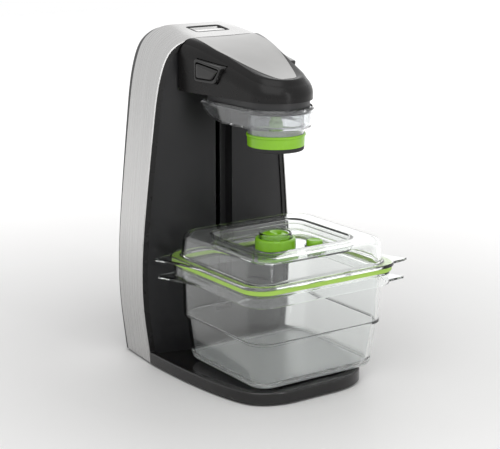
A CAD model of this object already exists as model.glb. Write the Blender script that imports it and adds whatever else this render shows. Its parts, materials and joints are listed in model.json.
"""Looks of the countertop vacuum sealing station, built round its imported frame.

Sizes are in millimetres, apart from those of the floor and the lamps, which are in metres.
"""
import bmesh
import bpy
import json
import math
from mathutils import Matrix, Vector
from mathutils.bvhtree import BVHTree


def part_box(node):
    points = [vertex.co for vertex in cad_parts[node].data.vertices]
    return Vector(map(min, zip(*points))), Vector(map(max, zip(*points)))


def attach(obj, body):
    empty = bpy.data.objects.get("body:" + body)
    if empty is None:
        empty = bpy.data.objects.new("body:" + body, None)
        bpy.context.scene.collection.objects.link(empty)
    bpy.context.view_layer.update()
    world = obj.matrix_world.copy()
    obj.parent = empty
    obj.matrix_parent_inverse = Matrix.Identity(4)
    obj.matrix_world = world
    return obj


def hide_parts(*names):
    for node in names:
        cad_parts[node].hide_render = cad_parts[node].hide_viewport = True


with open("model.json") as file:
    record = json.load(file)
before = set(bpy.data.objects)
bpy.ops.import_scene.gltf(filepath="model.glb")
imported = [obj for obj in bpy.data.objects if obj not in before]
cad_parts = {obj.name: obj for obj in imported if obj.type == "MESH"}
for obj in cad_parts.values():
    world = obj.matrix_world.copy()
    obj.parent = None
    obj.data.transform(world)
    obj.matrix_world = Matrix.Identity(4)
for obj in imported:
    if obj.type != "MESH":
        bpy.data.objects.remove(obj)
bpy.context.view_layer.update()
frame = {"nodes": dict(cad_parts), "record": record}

MM = 0.001
NODES = frame["nodes"]
MERGE = 0.01            # points closer than this are one point
SHARP_ANGLE = math.radians(38)
ROUND_STEPS = 5         # steps in a rounded corner of a profile
ROUND_SHARE = 0.45      # most of a profile's side that the rounding of one corner may take
TURN_STEPS = 72         # points round a turned piece

# camera, as solved from edges in the photograph
PHOTO_WIDTH, FOCAL_PIXELS, SENSOR = 500, 1459.0, 36.0
CAMERA_PLACE = Vector((-755.3, -1134.1, 474.6))
CAMERA_YAW, CAMERA_PITCH = math.radians(34.5), math.radians(14.1)


def span(node):
    """Lower and upper corner of a CAD node's box."""
    return [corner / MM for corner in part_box(node)]


def round_span(node):
    """Lowest and highest level of a round CAD node, and its radius."""
    low, high = span(node)
    return low.z, high.z, (high.x - low.x) / 2


def flank_angle(radius, half, run):
    """Direction in which straight sides leave a round nose, to reach a half width at a rear end."""
    return math.atan2(run, half) - math.acos(radius / math.hypot(half, run))


# column and head
COLUMN_FRONT, COLUMN_DEPTH, REAR_RISE = 19.1, 51.0, 7.1
NOZZLE_Y = -76.5
HEAD_ROOT_HALF, NOSE_RADIUS = 50.0, NOZZLE_Y - span("head_cover")[0].y
HEAD_FLANK = flank_angle(NOSE_RADIUS, HEAD_ROOT_HALF, COLUMN_FRONT - NOZZLE_Y)
HEAD_ROUND = 15.0                   # radius of the head cover's upper edge
SEAM_BOW, SEAM_FRONT = 263.8, 5.7   # radius of the head's rear edge in plan, and its middle

# drip tray
TRAY_LOW, TRAY_HIGH = span("drip_tray")
TRAY_RADIUS, TRAY_REAR_HALF, TRAY_REAR = NOZZLE_Y - TRAY_LOW.y, TRAY_HIGH.x, TRAY_HIGH.y
TRAY_SWEEP, TRAY_DRAFT, TRAY_WALL, TRAY_EDGE = 34.0, 2.6, 1.8, 0.8
TRAY_TOP, TRAY_BOTTOM = TRAY_HIGH.z, TRAY_HIGH.z - 18.5
DAM_TOP, SPOUT_BOTTOM, SPOUT_RADIUS = TRAY_BOTTOM + 14.0, TRAY_LOW.z, 25.4
SPOUT_FOOT = SPOUT_RADIUS + 2       # radius at which the spout runs into the tray's floor

# container and lid, in plan about the container's middle
CONTAINER_X, CONTAINER_Y = 10.0, -71.5
LID_X, LID_Y, LID_CORNER = 83.0, 78.0, 22.0
CORNER_SHRINK = 0.35                # how much a corner radius shrinks with the inset of its outline
LID_BOTTOM, LID_TOP, LID_WALL, LID_FLANGE = 111.4, 136.4, 2.4, 3.2
DOME_FOOT, DOME_TOP = 8.2, 10.6     # insets of the lid's raised part
WELL_X, WELL_Y, WELL_CORNER = 49.0, 46.0, 14.0
WELL_FLOOR, WELL_FLARE, WELL_FLAT = 126.4, 2.4, 12.0
EAR_START, EAR_LENGTH, EAR_REACH, EAR_TIP = LID_CORNER / 2 - LID_Y, 56.0, 16.0, 6.0
EAR_THICK, EAR_TAPER = 2.2, 1.7
RIM_TOP, RIM_HEIGHT, RIM_INSET = 106.4, 12.0, 3.0
RIM_THICK, RIM_SKIRT = 2.6, 2.0
TUB_BOTTOM, TUB_FLOOR, TUB_LEDGE, TUB_WALL = 13.4, 17.4, 56.4, 2.0
FLAT_INSET, FOOT_INSET, LEDGE_INSET = 40.0, 16.6, 12.2      # insets of the container's wall, from below
SHOULDER_INSET, NECK_INSET, MOUTH_INSET = 10.0, 9.2, 11.0
LEDGE_THICK = 1.6
GASKET_OUTSIDE, GASKET_INSIDE = 1.5, 7.5


# node materials

NOISE_LOW, NOISE_HIGH = 0.3, 0.7                # noise mostly lies between these
SPOUT_CLARITY, TRAY_CLARITY = 0.84, 0.97        # share of the light that the tray's plastic lets through
FOOT_CLARITY, FOOT_ROUGH = 0.55, 0.4            # the same for the container's underside, and its roughness
FROST_LOW, FROST_HIGH = TUB_BOTTOM + 1, TUB_FLOOR + 5


class Paint:
    """A procedural material: one shader and a few texture nodes in object space."""

    def __init__(self, name, **sockets):
        self.material = bpy.data.materials.new(name)
        self.material.use_nodes = True
        self.tree = self.material.node_tree
        self.shader = self.tree.nodes["Principled BSDF"]
        self.place = self.add("ShaderNodeTexCoord").outputs["Object"]
        for socket, value in sockets.items():
            self.set(socket.replace("_", " "), value)

    def add(self, kind, **values):
        node = self.tree.nodes.new(kind)
        for socket, value in values.items():
            node.inputs[socket.replace("_", " ")].default_value = value
        return node

    def set(self, socket, value):
        if isinstance(value, tuple) and len(value) == 3:
            value = value + (1.0,)
        self.shader.inputs[socket].default_value = value

    def link(self, output, socket):
        self.tree.links.new(output, socket)

    def noise(self, scale, detail=4.0, stretch=(1.0, 1.0, 1.0)):
        """A noise value, its scale in waves per metre, squeezed along each axis."""
        mapping = self.add("ShaderNodeMapping")
        mapping.inputs["Scale"].default_value = stretch
        self.link(self.place, mapping.inputs["Vector"])
        noise = self.add("ShaderNodeTexNoise", Scale=scale, Detail=detail)
        self.link(mapping.outputs["Vector"], noise.inputs["Vector"])
        return noise.outputs["Fac"]

    def distance(self, vector):
        """The length of a vector."""
        length = self.add("ShaderNodeVectorMath")
        length.operation = "LENGTH"
        self.link(vector, length.inputs[0])
        return length.outputs["Value"]

    def level(self, low, high, below, above):
        """A value that runs from one number to another between two levels above the table."""
        split = self.add("ShaderNodeSeparateXYZ")
        self.link(self.place, split.inputs["Vector"])
        climb = self.add("ShaderNodeMapRange", From_Min=low * MM, From_Max=high * MM,
                         To_Min=below, To_Max=above)
        climb.interpolation_type = "SMOOTHSTEP"
        self.link(split.outputs["Z"], climb.inputs["Value"])
        return climb.outputs["Result"]

    def spread(self, value, low, high, socket):
        """Let a value between 0 and 1 run a socket from low to high."""
        run = self.add("ShaderNodeMapRange", To_Min=low, To_Max=high)
        self.link(value, run.inputs["Value"])
        self.link(run.outputs["Result"], self.shader.inputs[socket])

    def shade(self, value, dark, light):
        """Let a value between 0 and 1 run the colour from dark to light."""
        ramp = self.add("ShaderNodeValToRGB")
        for element, colour in zip(ramp.color_ramp.elements, (dark, light)):
            element.color = colour + (1.0,)
        ramp.color_ramp.elements[0].position = NOISE_LOW
        ramp.color_ramp.elements[1].position = NOISE_HIGH
        self.link(value, ramp.inputs["Fac"])
        self.link(ramp.outputs["Color"], self.shader.inputs["Base Color"])

    def bump(self, value, depth, strength=1.0):
        """Let a value raise the surface by up to a depth."""
        bump = self.add("ShaderNodeBump", Strength=strength, Distance=depth * MM)
        self.link(value, bump.inputs["Height"])
        self.link(bump.outputs["Normal"], self.shader.inputs["Normal"])


def moulded(name, dark, light, rough, grain, **sockets):
    """Moulded plastic: slight colour drift, patchy gloss and a fine grain."""
    paint = Paint(name, **sockets)
    paint.shade(paint.noise(scale=18, detail=3), dark, light)
    paint.spread(paint.noise(scale=60, detail=6), *rough, "Roughness")
    paint.bump(paint.noise(scale=1400, detail=2), grain)
    return paint.material


def brushed(name, dark, light, rough, stretch):
    """Brushed metal: long thin streaks in colour, gloss and relief."""
    paint = Paint(name, Metallic=1.0, Anisotropic=0.5)
    streaks = paint.noise(scale=1.0, detail=6, stretch=stretch)
    paint.shade(streaks, dark, light)
    paint.spread(streaks, *rough, "Roughness")
    paint.bump(streaks, depth=0.01, strength=0.5)
    return paint.material


def clear(name, tint, rough):
    """Clear moulded plastic with faint flow marks."""
    paint = Paint(name, Base_Color=tint, IOR=1.45, Transmission_Weight=1.0)
    paint.spread(paint.noise(scale=30, detail=5, stretch=(1, 1, 0.3)), *rough, "Roughness")
    paint.bump(paint.noise(scale=70, detail=2), depth=0.03, strength=0.3)
    return paint


def milky_spout(name, tint, rough):
    """Clear plastic that turns milky towards the axis of the nozzle."""
    paint = clear(name, tint, rough)
    flat = paint.add("ShaderNodeMapping", Location=(0, -NOZZLE_Y * MM, 0), Scale=(1, 1, 0))
    paint.link(paint.place, flat.inputs["Vector"])
    away = paint.distance(flat.outputs["Vector"])
    milk = paint.add("ShaderNodeMapRange", From_Min=SPOUT_RADIUS * MM, From_Max=SPOUT_FOOT * MM,
                     To_Min=SPOUT_CLARITY, To_Max=TRAY_CLARITY)
    paint.link(away, milk.inputs["Value"])
    paint.link(milk.outputs["Result"], paint.shader.inputs["Transmission Weight"])
    return paint


def frosted_foot(name, tint, rough):
    """Clear plastic that turns milky towards the underside of the container."""
    paint = clear(name, tint, rough)
    frost = paint.level(FROST_LOW, FROST_HIGH, FOOT_ROUGH, rough[1])
    paint.link(frost, paint.shader.inputs["Roughness"])
    clarity = paint.level(FROST_LOW, FROST_HIGH, FOOT_CLARITY, 1.0)
    paint.link(clarity, paint.shader.inputs["Transmission Weight"])
    return paint


# darker and lighter colour, least and most roughness, then the waves of the streaks or the depth of the grain
STEEL = brushed("steel", (0.46, 0.457, 0.453), (0.56, 0.557, 0.553), (0.22, 0.32), (6, 1600, 6))
BRIGHT_STEEL = brushed("bright_steel", (0.55, 0.55, 0.55), (0.7, 0.7, 0.7), (0.15, 0.3), (1500, 1500, 12))
MOTOR = brushed("motor_steel", (0.3, 0.3, 0.31), (0.42, 0.42, 0.43), (0.3, 0.45), (1600, 6, 6))
BRASS = brushed("brass", (0.5, 0.34, 0.1), (0.62, 0.44, 0.16), (0.25, 0.4), (6, 6, 1600))
GLOSS = moulded("black_gloss", (0.006, 0.0055, 0.0055), (0.009, 0.0085, 0.0085), (0.24, 0.31), 0.004,
                Specular_IOR_Level=0.22)
POLISHED = moulded("polished_black", (0.006, 0.0055, 0.0055), (0.009, 0.0085, 0.0085), (0.11, 0.17), 0.003)
PANEL = moulded("panel_gloss", (0.009, 0.009, 0.010), (0.013, 0.013, 0.014), (0.32, 0.42), 0.006,
                Specular_IOR_Level=0.27)
PLATE = moulded("plate_paint", (0.36, 0.357, 0.352), (0.41, 0.407, 0.402), (0.30, 0.36), 0.004, Metallic=1.0)
SATIN = moulded("black_satin", (0.010, 0.010, 0.011), (0.015, 0.015, 0.016), (0.36, 0.5), 0.03)
RUBBER = moulded("black_rubber", (0.010, 0.010, 0.010), (0.018, 0.018, 0.018), (0.6, 0.8), 0.06)
GREEN = moulded("green_plastic", (0.23, 0.53, 0.012), (0.28, 0.61, 0.02), (0.2, 0.3), 0.006)
VALVE_GREEN = moulded("valve_green", (0.20, 0.47, 0.012), (0.25, 0.55, 0.02), (0.2, 0.32), 0.006)
GASKET = moulded("green_gasket", (0.36, 0.6, 0.08), (0.44, 0.69, 0.11), (0.35, 0.5), 0.02)
SILVER = moulded("silver_plastic", (0.6, 0.595, 0.59), (0.68, 0.675, 0.67), (0.2, 0.3), 0.004, Metallic=0.85)
HOSE = moulded("grey_hose", (0.08, 0.08, 0.08), (0.12, 0.12, 0.12), (0.5, 0.6), 0.03)
BOARD = moulded("board", (0.01, 0.06, 0.02), (0.02, 0.09, 0.03), (0.3, 0.4), 0.01)
WHITE = moulded("white_plastic", (0.55, 0.55, 0.52), (0.65, 0.65, 0.62), (0.35, 0.5), 0.02)
CLEAR = clear("clear_plastic", (0.975, 0.99, 0.98), (0.01, 0.03)).material
TUB_CLEAR = frosted_foot("tub_plastic", (0.975, 0.99, 0.985), (0.02, 0.05)).material
TRAY_CLEAR = milky_spout("tray_plastic", (0.95, 0.965, 0.975), (0.01, 0.04)).material

SLOT_PAINT = {
    "steel": STEEL, "bright_steel": BRIGHT_STEEL, "motor_steel": MOTOR, "brass": BRASS,
    "black_gloss": GLOSS, "black_satin": SATIN, "black_rubber": RUBBER, "green_plastic": GREEN,
    "green_rubber": GASKET, "clear_plastic": CLEAR, "silver_plastic": SILVER, "grey_hose": HOSE,
    "board": BOARD, "white_plastic": WHITE,
}
NODE_PAINT = {
    "front_panel": PANEL, "track_channel": SATIN, "top_button_frame": RUBBER, "base_shell": POLISHED,
}

for part in frame["record"]["subparts"]:
    for holder in NODES[part["node"]].material_slots:
        holder.material = NODE_PAINT.get(part["node"], SLOT_PAINT[part["material_slot"]])


# profiles and rings

def spaced(start, end, count):
    """Evenly spaced values from start, up to but without the end."""
    return [start + (end - start) * step / count for step in range(count)]


def soften(corners, closed=False):
    """A profile with rounded corners. Each corner is a point followed by how far its rounding reaches."""
    points = [Vector(corner[:-1]) for corner in corners]
    path = []
    for index, here in enumerate(points):
        reach = corners[index][-1]
        at_end = not closed and index in (0, len(points) - 1)
        if at_end or not reach:
            path.append(here)
            continue
        before, after = points[index - 1], points[(index + 1) % len(points)]
        start = here.lerp(before, min(ROUND_SHARE, reach / (here - before).length))
        end = here.lerp(after, min(ROUND_SHARE, reach / (here - after).length))
        for t in spaced(0, 1, ROUND_STEPS) + [1.0]:
            path.append(start.lerp(here, t).lerp(here.lerp(end, t), t))
    return path


def turned(profile, x=0.0, y=NOZZLE_Y, angles=None):
    """Circles about an upright axis, the nozzle's by default, for each radius and level of a profile."""
    angles = angles or spaced(0, 2 * math.pi, TURN_STEPS)
    return [[Vector((x + radius * math.cos(a), y + radius * math.sin(a), z)) for a in angles]
            for radius, z in profile]


def piece(name, rings, body, paint, slot, *nodes, closed=False):
    """A mesh through rings of points. It rides a body and stands for CAD nodes."""
    form = bmesh.new()
    rows = [[form.verts.new(point * MM) for point in ring] for ring in rings]
    pairs = list(zip(rows, rows[1:]))
    if closed:
        pairs.append((rows[-1], rows[0]))
    else:
        form.faces.new(rows[0])
        form.faces.new(rows[-1])
    for low, high in pairs:
        for index in range(len(low)):
            form.faces.new((low[index - 1], low[index], high[index], high[index - 1]))
    bmesh.ops.remove_doubles(form, verts=form.verts, dist=MERGE * MM)
    bmesh.ops.recalc_face_normals(form, faces=form.faces)
    mesh = bpy.data.meshes.new(name)
    form.to_mesh(mesh)
    form.free()
    mesh.shade_smooth()
    mesh.set_sharp_from_angle(angle=SHARP_ANGLE)
    mesh.materials.append(paint)
    obj = bpy.data.objects.new(name, mesh)
    bpy.context.collection.objects.link(obj)
    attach(obj, body)
    if nodes:
        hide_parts(*nodes)


def hollow(name, outline, body, paint, slot, *nodes, x=0.0, y=NOZZLE_Y):
    """A turned piece with a bore, from the closed outline of its wall."""
    piece(name, turned(soften(outline, closed=True), x, y), body, paint, slot, *nodes, closed=True)


# container, gasket and lid

SIDE_STEPS, CORNER_STEPS = 12, 18


def ear_reach(y):
    """How far an ear stands out beside the lid at a place along its side, or None beside the ear."""
    along = y - EAR_START
    if not -MERGE <= along <= EAR_LENGTH:
        return None
    if along < EAR_TIP:
        return EAR_REACH - EAR_TIP + math.sqrt(EAR_TIP ** 2 - (EAR_TIP - max(along, 0)) ** 2)
    return EAR_REACH * ((EAR_LENGTH - along) / (EAR_LENGTH - EAR_TIP)) ** EAR_TAPER


def box_ring(half_x, half_y, corner, ear, z):
    """A level outline round the container. Ears stand out at two opposite corners."""
    long, wide = half_x - corner, half_y - corner
    turns = spaced(0, math.pi / 2, CORNER_STEPS)
    half = [Vector((long * t, -half_y)) for t in spaced(-1, 1, SIDE_STEPS)]
    half += [Vector((long + corner * math.sin(a), -wide - corner * math.cos(a))) for a in turns]
    half += [Vector((half_x, wide * t)) for t in spaced(-1, 1, SIDE_STEPS)]
    half += [Vector((long + corner * math.cos(a), wide + corner * math.sin(a))) for a in turns]
    for point in half:
        reach = ear_reach(point.y)
        if reach is not None and point.x > 0:
            point.x += ear * (half_x + reach - point.x)
    return [Vector((CONTAINER_X + point.x, CONTAINER_Y + point.y, z))
            for point in half + [-point for point in half]]


def rim(inset, z, rounding=0.0, ear=0.0):
    """A corner of a profile, drawn in from the edge of the lid."""
    return LID_X - inset, LID_Y - inset, LID_CORNER - CORNER_SHRINK * inset, ear, z, rounding


def well(grow, z, rounding=0.0):
    """A corner of a profile round the lid's sunk middle."""
    return WELL_X + grow, WELL_Y + grow, WELL_CORNER + grow, 0.0, z, rounding


def boxed(corners, closed=False):
    """Level outlines through a profile of rim and well corners."""
    return [box_ring(*corner) for corner in soften(corners, closed)]


def container():
    """The clear container: outside up to its rim and ears, then inside down to its floor."""
    hem, mouth = RIM_TOP - RIM_HEIGHT, RIM_TOP - RIM_THICK
    skirt, ear_top = RIM_INSET + RIM_SKIRT, hem + EAR_THICK
    tub = [
        rim(FLAT_INSET, TUB_BOTTOM), rim(FOOT_INSET, TUB_BOTTOM, 7), rim(LEDGE_INSET, TUB_LEDGE, 0.8),
        rim(SHOULDER_INSET, TUB_LEDGE, 0.8), rim(NECK_INSET, mouth, 1.0), rim(skirt, mouth, 1.0),
        rim(skirt, hem, 0.3), rim(RIM_INSET, hem, 0.6, ear=1), rim(RIM_INSET, ear_top, 0.6, ear=1),
        rim(RIM_INSET, ear_top), rim(RIM_INSET, RIM_TOP, 1.2), rim(MOUTH_INSET, RIM_TOP, 1.2),
        rim(SHOULDER_INSET + TUB_WALL, TUB_LEDGE + TUB_WALL, 1.0),
        rim(LEDGE_INSET + TUB_WALL, TUB_LEDGE + LEDGE_THICK, 1.0),
        rim(FOOT_INSET + TUB_WALL, TUB_FLOOR, 6), rim(FLAT_INSET, TUB_FLOOR),
    ]
    piece("clear_tub", boxed(tub), "container", TUB_CLEAR, "clear_plastic", "container_tub")


def gasket():
    """The green band between container and lid."""
    low, high = (corner.z for corner in span("lid_gasket"))
    band = [
        rim(GASKET_OUTSIDE, low, 1.3), rim(GASKET_OUTSIDE, high, 1.3),
        rim(GASKET_INSIDE, high, 1.0), rim(GASKET_INSIDE, low, 1.0),
    ]
    rings = boxed(band, closed=True)
    piece("gasket_band", rings, "lid", GASKET, "green_rubber", "lid_gasket", closed=True)


def lid():
    """The clear lid: outside from the sunk middle to its ears, then inside back again."""
    top, ear_top = LID_BOTTOM + LID_FLANGE, LID_BOTTOM + EAR_THICK
    under, well_under = LID_TOP - LID_WALL, WELL_FLOOR - LID_WALL
    step = (WELL_FLOOR + LID_TOP) / 2
    shell = [
        well(-WELL_FLAT, WELL_FLOOR), well(0, WELL_FLOOR, 1.6), well(0.6, step, 0.5),
        well(1.6, step + 0.4, 0.5), well(WELL_FLARE, LID_TOP, 1.4), rim(DOME_TOP, LID_TOP, 6.5),
        rim(DOME_FOOT, top, 2.0), rim(0, top, 0.9), rim(0, ear_top), rim(0, ear_top, 0.7, ear=1),
        rim(0, LID_BOTTOM, 0.7, ear=1), rim(1.2, LID_BOTTOM), rim(DOME_FOOT + LID_WALL, LID_BOTTOM, 0.8),
        rim(DOME_TOP + LID_WALL, under, 5.0), well(WELL_FLARE + LID_WALL, under, 1.0),
        well(LID_WALL, well_under, 2.4), well(-WELL_FLAT, well_under),
    ]
    piece("lid_shell", boxed(shell), "lid", CLEAR, "clear_plastic", "container_lid")


# valve and vent in the lid

VALVE_GAP, STEM_BORE, CUP_DEPTH = 0.3, 5.3, 4.5     # the collar's clearance, bore and depth round the cap
WINDOW_WALL, WINDOW_GAP = 2.6, 0.2                  # clear ring round the cap
SWIRL_DROP, SWIRL_EDGE, SWIRL_LIFT = 1.6, 1.0, 0.6  # drop and edge of the cap's face, and the swirl's rise
SWIRL_MARGIN, SWIRL_START, SWIRL_END = 0.6, 1.6, 1.0
SWIRL_HEIGHT, SWIRL_ARMS, SWIRL_WINDING, SWIRL_STEPS = 0.9, 2, 0.55, 14
FLAP_CENTRE, FLAP_DISH, FLAP_LIP = 1.0, 0.4, 3.0
VENT_WALL, VENT_PIN, VENT_DISC = 1.2, 4.0, 6.0


def swirl(radius, z):
    """Circles that climb to the middle of the valve's cap, with ridges that wind round it."""
    reaches = spaced(radius - SWIRL_START, SWIRL_END, SWIRL_STEPS)
    rings = []
    for reach in [radius - SWIRL_MARGIN, *reaches, SWIRL_MARGIN]:
        fade = math.sin(math.pi * min(1.0, reach / radius))
        ring = []
        for a in spaced(0, 2 * math.pi, TURN_STEPS):
            ridge = SWIRL_HEIGHT * fade * math.sin(SWIRL_ARMS * a + SWIRL_WINDING * reach)
            ring.append(Vector((reach * math.cos(a), NOZZLE_Y + reach * math.sin(a), z + SWIRL_LIFT + ridge)))
        rings.append(ring)
    return rings


def valve():
    """The valve's collar in the lid, its cap with a clear ring round it, and its flap."""
    low, high, radius = round_span("valve_collar")
    cap_low, cap_high, cap_radius = round_span("valve_cap")
    cup, seat = cap_radius + VALVE_GAP, high - CUP_DEPTH
    collar = [
        (STEM_BORE, low, 0), (radius, low, 0.6), (radius - 0.3, high, 2.4), (cup, high, 0.5),
        (cup, seat, 0.4), (STEM_BORE, seat, 0),
    ]
    hollow("valve_ring", collar, "lid", VALVE_GREEN, "green_plastic", "valve_collar")

    stem, core = STEM_BORE - VALVE_GAP, cap_radius - WINDOW_WALL
    cap_seat, face = seat + VALVE_GAP, cap_high - SWIRL_DROP
    heart = [
        (stem, cap_low, 0), (stem, cap_seat, 0), (core, cap_seat, 0.4), (core, face, 0.8),
        (core - SWIRL_EDGE, face, 0),
    ]
    rings = turned(soften(heart)) + swirl(core - SWIRL_EDGE, face)
    piece("valve_heart", rings, "valve", VALVE_GREEN, "green_plastic", "valve_cap")

    bore = core + WINDOW_GAP
    wall = [
        (bore, cap_seat, 0), (cap_radius, cap_seat, 0.3), (cap_radius - 0.4, cap_high, 1.9),
        (bore, cap_high, 0.9),
    ]
    hollow("valve_window", wall, "valve", CLEAR, "clear_plastic")

    low, high, radius = round_span("valve_flap")
    flap = [
        (FLAP_CENTRE, low + FLAP_DISH, 0), (radius - FLAP_LIP, low + FLAP_DISH, 0.5), (radius, low, 0.3),
        (radius, high - 0.3, 0.3), (FLAP_CENTRE, high, 0),
    ]
    piece("valve_skin", turned(soften(flap)), "valve", RUBBER, "black_rubber", "valve_flap")


def vent():
    """The vent button and the clear ring round it."""
    corner, opposite = span("vent_socket")
    x, y = (corner.x + opposite.x) / 2, (corner.y + opposite.y) / 2
    low, high, radius = round_span("vent_socket")
    bore = radius - VENT_WALL
    wall = [(bore, low, 0), (radius, low, 0.4), (radius, high, 0.5), (bore, high, 0.5)]
    hollow("vent_ring", wall, "lid", CLEAR, "clear_plastic", "vent_socket", x=x, y=y)

    low, high, disc = round_span("vent_button")
    seat = high - VENT_DISC
    form = [
        (VENT_PIN, low, 0), (VENT_PIN, seat, 0), (disc, seat, 0.5), (disc, high - 0.6, 1.2),
        (disc - 2.2, high, 0.8), (disc - 3.4, high - 0.6, 0.8), (0.5, high - 0.9, 0),
    ]
    piece("vent_cap", turned(soften(form), x, y), "vent", VALVE_GREEN, "green_plastic", "vent_button")


# drip tray and nozzle

NOSE_STEPS, FLANK_STEPS, REAR_STEPS, SWEEP_STEPS = 40, 12, 12, 12
NOZZLE_GAP, BEAD_HEIGHT, BEAD_PROUD = 0.1, 2.6, 0.5
SEAL_WALL = 3.6
TUBE_RADIUS, TUBE_BORE, TUBE_COLLAR, TUBE_TAPER = 5.0, 3.5, 5.0, 1.5


def tray_ring(inset, sweep, lip=0.0):
    """A level outline of the drip tray, drawn in by inset and lip.

    It lies at a place along the tray's curved rear: 0 at the rim, 1 at the floor.
    """
    turn = sweep * math.pi / 2
    z = TRAY_TOP - (TRAY_TOP - TRAY_BOTTOM - inset) * math.sin(turn)
    narrow = inset + TRAY_DRAFT * (TRAY_TOP - z) / (TRAY_TOP - TRAY_BOTTOM) + lip
    radius, half = TRAY_RADIUS - narrow, TRAY_REAR_HALF - narrow
    run = TRAY_REAR - inset - NOZZLE_Y
    rear = run - TRAY_SWEEP * (1 - math.cos(turn)) - lip
    angle = flank_angle(radius, half, run)
    touch = Vector((radius * math.cos(angle), radius * math.sin(angle)))
    corner = touch.lerp(Vector((half, run)), (rear - touch.y) / (run - touch.y))
    points = [Vector((radius * math.cos(a), radius * math.sin(a)))
              for a in spaced(-math.pi - angle, angle, NOSE_STEPS)]
    points += [touch.lerp(corner, t) for t in spaced(0, 1, FLANK_STEPS)]
    points += [Vector((corner.x * t, rear)) for t in spaced(1, -1, REAR_STEPS)]
    points += [Vector((-p.x, p.y)) for p in (corner.lerp(touch, t) for t in spaced(0, 1, FLANK_STEPS))]
    return [Vector((p.x, NOZZLE_Y + p.y, z)) for p in points]


def drip_tray():
    """The clear tray: outside down to its floor, down and up the spout, then inside up to the rim."""
    levels = spaced(0, 1, SWEEP_STEPS)
    outer = [tray_ring(0, level) for level in levels[1:]] + [tray_ring(0, 1, TRAY_EDGE)]
    inner = [tray_ring(TRAY_WALL, level) for level in [1.0, *reversed(levels)]]
    angles = [math.atan2(point.y - NOZZLE_Y, point.x) for point in outer[-1]]
    bore, tray_floor = SPOUT_RADIUS - TRAY_WALL, TRAY_BOTTOM + TRAY_WALL
    spout = [
        (SPOUT_FOOT, TRAY_BOTTOM, 0), (SPOUT_RADIUS, TRAY_BOTTOM, 1.2), (SPOUT_RADIUS, SPOUT_BOTTOM, 0.4),
        (bore, SPOUT_BOTTOM, 0.4), (bore, DAM_TOP, 0.5), (SPOUT_RADIUS, DAM_TOP, 0.5),
        (SPOUT_RADIUS, tray_floor, 1.0), (SPOUT_FOOT, tray_floor, 0),
    ]
    rings = outer + turned(soften(spout), angles=angles) + inner
    piece("tray_shell", rings, "reservoir", TRAY_CLEAR, "clear_plastic", "drip_tray", closed=True)


def nozzle():
    """The green ring with a bead round its top, the seal below it, and the tube inside."""
    low, high, radius = round_span("nozzle_ring")
    bore, bead = SPOUT_RADIUS + NOZZLE_GAP, high - BEAD_HEIGHT
    ring = [
        (bore, low, 0.2), (radius - 0.6, low, 0.5), (radius - 0.3, bead, 0.3),
        (radius + BEAD_PROUD, bead + BEAD_PROUD, 0.3), (radius + BEAD_PROUD, high, 0.8), (bore, high, 0.2),
    ]
    hollow("nozzle_band", ring, "reservoir", GREEN, "green_plastic", "nozzle_ring")

    low, high, radius = round_span("nozzle_seal")
    bore = radius - SEAL_WALL
    lip = [
        (bore, high, 0.2), (radius, high, 0.2), (radius - 0.5, low, 1.2), (radius - 2.2, low, 0.8),
        (bore, low + 1.0, 0.4),
    ]
    hollow("seal_lip", lip, "reservoir", RUBBER, "black_rubber", "nozzle_seal")

    low, high, foot = round_span("suction_tube")
    collar = low + TUBE_COLLAR
    tube = [
        (TUBE_BORE, low, 0.3), (foot, low, 0.6), (foot, collar, 0.8), (TUBE_RADIUS, collar + TUBE_TAPER, 0.8),
        (TUBE_RADIUS, high, 0), (TUBE_BORE, high, 0),
    ]
    hollow("suction_pipe", tube, "head", GREEN, "green_plastic", "suction_tube")


# crowned top of the head, and the light plate on it

CROWN_LIFT, CROWN_START, CROWN_END = 1.4, 4.5, 9.5  # rise, and where it starts and ends inside the outline
PLATE_LIFT, PLATE_FRONT = 0.3, -96.0
PLATE_HALF = (                                      # places along the head, half widths and roundings
    (SEAM_FRONT, 33.5, 0), (-28.0, 33.5, 14), (-60.0, 24.0, 14), (-84.0, 15.0, 9), (PLATE_FRONT, 9.0, 7),
    (PLATE_FRONT, 0, 0))
TOP_EDGE, TOP_TIP = 0.6, 0.2        # how deep a skin is let into the cover, and its least half width
TOP_STEPS, TOP_PITCH = 28, 2.0      # points across a skin, and the distance between rings
ABOVE_HEAD = 400.0                  # level from which the head cover is sought


def inside(x, y):
    """How far a place in plan lies inside the outline of the head."""
    ahead = y - NOZZLE_Y
    if ahead > abs(x) * math.tan(HEAD_FLANK):
        return NOSE_RADIUS - abs(x) * math.cos(HEAD_FLANK) - ahead * math.sin(HEAD_FLANK)
    return NOSE_RADIUS - math.hypot(x, ahead)


def round_drop(depth):
    """How far the rounded edge of the head cover lies below its roof."""
    return HEAD_ROUND - math.sqrt(HEAD_ROUND ** 2 - max(0.0, HEAD_ROUND - depth) ** 2)


def crown(depth):
    """Rise of the crowned top above the head cover. It leaves the rounded edge smoothly and ends level."""
    reach, edge = CROWN_END - CROWN_START, HEAD_ROUND - CROWN_START
    slope = edge / math.sqrt(HEAD_ROUND ** 2 - edge ** 2)
    drop = round_drop(CROWN_START)
    t = min(1.0, max(0.0, (depth - CROWN_START) / reach))
    rise = slope * reach * t * (1 - t) ** 2 + (CROWN_LIFT + drop) * t * t * (3 - 2 * t)
    return rise - drop + round_drop(max(depth, CROWN_START))


def crown_outline():
    """Half widths of the crown along the head."""
    radius = NOSE_RADIUS - CROWN_START
    root = (radius - (SEAM_FRONT - NOZZLE_Y) * math.sin(HEAD_FLANK)) / math.cos(HEAD_FLANK)
    turns = spaced(HEAD_FLANK, -math.pi / 2, TOP_STEPS)
    nose = [(NOZZLE_Y + radius * math.sin(a), radius * math.cos(a)) for a in turns]
    return [Vector(point) for point in [(SEAM_FRONT, root), *nose]]


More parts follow.
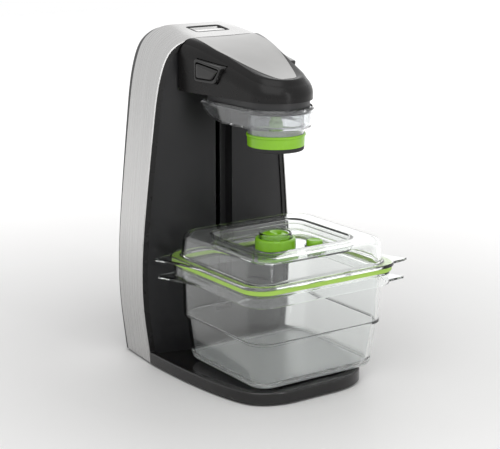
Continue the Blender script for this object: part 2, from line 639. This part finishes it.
def skin(name, outline, lift, paint, slot):
    """A thin skin on the crowned head cover, from half widths along the head."""
    cover = NODES["head_cover"]
    roof = BVHTree.FromObject(cover, bpy.context.evaluated_depsgraph_get())
    path = []
    for here, after in zip(outline, outline[1:]):
        count = max(1, round((after - here).length / TOP_PITCH))
        path += [here.lerp(after, t) for t in spaced(0, 1, count)]
    rings = []
    for y, half in path + [outline[-1]]:
        half = max(half, TOP_TIP)
        top, under = [], []
        for x in spaced(-half, half, TOP_STEPS) + [half]:
            bowed = y + x * x / (2 * SEAM_BOW) * (y - PLATE_FRONT) / (SEAM_FRONT - PLATE_FRONT)
            above = cover.matrix_world.inverted() @ (Vector((x, bowed, ABOVE_HEAD)) * MM)
            place = cover.matrix_world @ roof.ray_cast(above, Vector((0, 0, -1)))[0] / MM
            top.append(place + Vector((0, 0, lift + crown(inside(x, bowed)))))
            under.append(place - Vector((0, 0, TOP_EDGE)))
        rings.append(top + under[::-1])
    piece(name, rings, "head", paint, slot)


def head_top():
    skin("head_crown", crown_outline(), 0.0, GLOSS, "black_gloss")
    skin("head_plate", soften(PLATE_HALF), PLATE_LIFT, PLATE, "silver_plastic")


# buttons

BUTTON_BACK, BUTTON_FRONT, BUTTON_RAKE = -14.0, -41.5, 8.0
BUTTON_LOW, BUTTON_HIGH, BUTTON_SLOPE = 277.0, 295.2, 2.3
BUTTON_PROUD, BUTTON_SINK, BUTTON_CORNER = 4.6, 5.0, 2.8    # how far out and in it reaches from the flank
BUTTON_RIM, BUTTON_GROOVE = BUTTON_PROUD - 0.8, 0.5         # levels of its rim and the groove inside that
KEY_EDGE, SCOOP_DEPTH, SLIT_DEPTH = 0.5, 1.9, 1.5           # the top button's


def button_ring(side, grow, lift):
    """The side button's outline on the flank of the head, grown all round and lifted off the flank."""
    corners = [
        (BUTTON_BACK + grow, BUTTON_LOW - grow), (BUTTON_BACK + grow, BUTTON_HIGH + BUTTON_SLOPE + grow),
        (BUTTON_FRONT - BUTTON_RAKE - grow, BUTTON_HIGH - BUTTON_SLOPE + grow),
        (BUTTON_FRONT - grow, BUTTON_LOW - grow),
    ]
    ring = []
    for y, z in soften([(*corner, BUTTON_CORNER) for corner in corners], closed=True):
        x = (NOSE_RADIUS + lift - (y - NOZZLE_Y) * math.sin(HEAD_FLANK)) / math.cos(HEAD_FLANK)
        ring.append(Vector((side * x, y, z)))
    return ring


def side_button(name, side):
    """A key with a rim, a groove inside it and a raised middle, from how far each ring grows and lifts."""
    steps = [
        (0, -BUTTON_SINK), (0, BUTTON_RIM - 1.0), (-0.3, BUTTON_RIM - 0.3), (-0.9, BUTTON_RIM),
        (-1.7, BUTTON_RIM), (-2.3, BUTTON_RIM - 0.3), (-2.6, BUTTON_GROOVE), (-3.1, BUTTON_GROOVE),
        (-3.4, BUTTON_PROUD - 1.0), (-3.8, BUTTON_PROUD - 0.3), (-4.6, BUTTON_PROUD), (-6.4, BUTTON_PROUD),
    ]
    rings = [button_ring(side, grow, lift) for grow, lift in steps]
    piece(name + "_key", rings, name + "_release", POLISHED, "black_gloss", name + "_button")


def top_button():
    """A key that slopes with the column's top, with a scoop for the finger and a slit in front of it."""
    low, high = span("top_button")
    middle = (low.y + high.y) / 2
    half = high.y - middle
    slope = REAR_RISE / COLUMN_DEPTH
    slit = 0.06 * half
    outline = [
        (low.y, low.z, 0), (high.y, low.z, 0), (high.y, high.z, 0.5), (high.y - 1, high.z, 0.4),
        (middle + 0.55 * half, high.z - SCOOP_DEPTH, 3.0), (middle + 0.12 * half, high.z - 0.3, 0.6),
        (middle + slit, high.z - SLIT_DEPTH, 0.2), (middle, high.z - SLIT_DEPTH, 0.2),
        (middle - slit, high.z, 0.3), (low.y, high.z, 0.6),
    ]
    profile = soften(outline, closed=True)
    sections = (
        (low.x, KEY_EDGE), (low.x + KEY_EDGE, 0), (high.x - KEY_EDGE, 0), (high.x, KEY_EDGE))
    rings = []
    for x, inset in sections:
        ring = []
        for y, z in profile:
            fall = slope * (high.y - y) if z > low.z + 1 else 0.0
            ring.append(Vector((x, y, max(low.z, z - fall - inset))))
        rings.append(ring)
    piece("power_key", rings, "power_button", SILVER, "silver_plastic", "top_button")


container()
gasket()
lid()
valve()
vent()
drip_tray()
nozzle()
head_top()
side_button("left", -1)
side_button("right", 1)
top_button()


# studio

FLOOR_HALF = 3.0
GLOW_START, GLOW_END, GLOW_MOST = 0.18, 0.9, 0.5        # the floor turns paler between these distances
SIDE_REACH, SIDE_DARK, SIDE_LIGHT = 0.5, 0.42, 0.75     # light from the left and from the right


def shown(tree):
    """1 for rays that show a thing, straight or in a mirror or glass, and 0 for rays that carry its light."""
    path = tree.nodes.new("ShaderNodeLightPath")
    value = path.outputs["Is Camera Ray"]
    for kind in ("Is Glossy Ray", "Is Transmission Ray"):
        either = tree.nodes.new("ShaderNodeMath")
        either.operation = "MAXIMUM"
        tree.links.new(value, either.inputs[0])
        tree.links.new(path.outputs[kind], either.inputs[1])
        value = either.outputs["Value"]
    return value


def floor_paint():
    """A pale floor that looks paler away from the object, without lighting it."""
    paint = Paint("floor_paint", Emission_Color=(1.0, 1.0, 1.0))
    paint.shade(paint.noise(scale=3, detail=3), (0.81, 0.805, 0.80), (0.83, 0.825, 0.82))
    paint.spread(paint.noise(scale=8, detail=4), 0.5, 0.6, "Roughness")
    glow = paint.add("ShaderNodeMapRange", From_Min=GLOW_START, From_Max=GLOW_END, To_Max=GLOW_MOST)
    paint.link(paint.distance(paint.place), glow.inputs["Value"])
    pale = paint.add("ShaderNodeMath")
    pale.operation = "MULTIPLY"
    paint.link(glow.outputs["Result"], pale.inputs[0])
    paint.link(shown(paint.tree), pale.inputs[1])
    paint.link(pale.outputs["Value"], paint.shader.inputs["Emission Strength"])
    return paint.material


def stage():
    corners = [(x * FLOOR_HALF, y * FLOOR_HALF, 0) for x, y in ((-1, -1), (1, -1), (1, 1), (-1, 1))]
    floor = bpy.data.meshes.new("floor")
    floor.from_pydata(corners, [], [(0, 1, 2, 3)])
    floor.materials.append(floor_paint())
    obj = bpy.data.objects.new("floor", floor)
    bpy.context.collection.objects.link(obj)


def surroundings():
    """A pale studio all round, darker on the left, that is plain white where it shows itself."""
    world = bpy.data.worlds.new("studio")
    world.use_nodes = True
    tree = world.node_tree
    background = tree.nodes["Background"]
    background.inputs["Color"].default_value = (1.0, 1.0, 1.0, 1.0)
    place = tree.nodes.new("ShaderNodeTexCoord")
    split = tree.nodes.new("ShaderNodeSeparateXYZ")
    tree.links.new(place.outputs["Generated"], split.inputs["Vector"])
    side = tree.nodes.new("ShaderNodeMapRange")
    side.inputs["From Min"].default_value = -SIDE_REACH
    side.inputs["From Max"].default_value = SIDE_REACH
    side.inputs["To Min"].default_value = SIDE_DARK
    side.inputs["To Max"].default_value = SIDE_LIGHT
    tree.links.new(split.outputs["X"], side.inputs["Value"])
    level = tree.nodes.new("ShaderNodeMapRange")
    tree.links.new(shown(tree), level.inputs["Value"])
    tree.links.new(side.outputs["Result"], level.inputs["To Min"])
    level.inputs["To Max"].default_value = 1.0
    tree.links.new(level.outputs["Result"], background.inputs["Strength"])
    bpy.context.scene.world = world


def softbox(name, place, aim, size, power):
    light = bpy.data.lights.new(name, "AREA")
    light.shape = "RECTANGLE"
    light.size, light.size_y = size
    light.energy = power
    obj = bpy.data.objects.new(name, light)
    obj.location = place
    obj.rotation_euler = (Vector(aim) - Vector(place)).to_track_quat("-Z", "Y").to_euler()
    bpy.context.collection.objects.link(obj)


def camera():
    lens = bpy.data.cameras.new("photo_camera")
    lens.sensor_width = SENSOR
    lens.lens = FOCAL_PIXELS * SENSOR / PHOTO_WIDTH
    obj = bpy.data.objects.new("photo_camera", lens)
    obj.location = CAMERA_PLACE * MM
    obj.rotation_euler = (math.pi / 2 - CAMERA_PITCH, 0.0, -CAMERA_YAW)
    bpy.context.collection.objects.link(obj)
    bpy.context.scene.camera = obj


stage()
surroundings()
softbox("key", place=(-1.0, -1.0, 1.9), aim=(0.0, -0.05, 0.15), size=(2.2, 2.2), power=22)
softbox("back", place=(1.24, 1.02, 0.87), aim=(0.0, -0.05, 0.3), size=(1.1, 1.1), power=1.9)
softbox("strip", place=(0.1, -1.35, 0.6), aim=(0.0, -0.08, 0.3), size=(0.12, 1.2), power=2.2)
camera()
bpy.context.scene.view_settings.view_transform = "Standard"
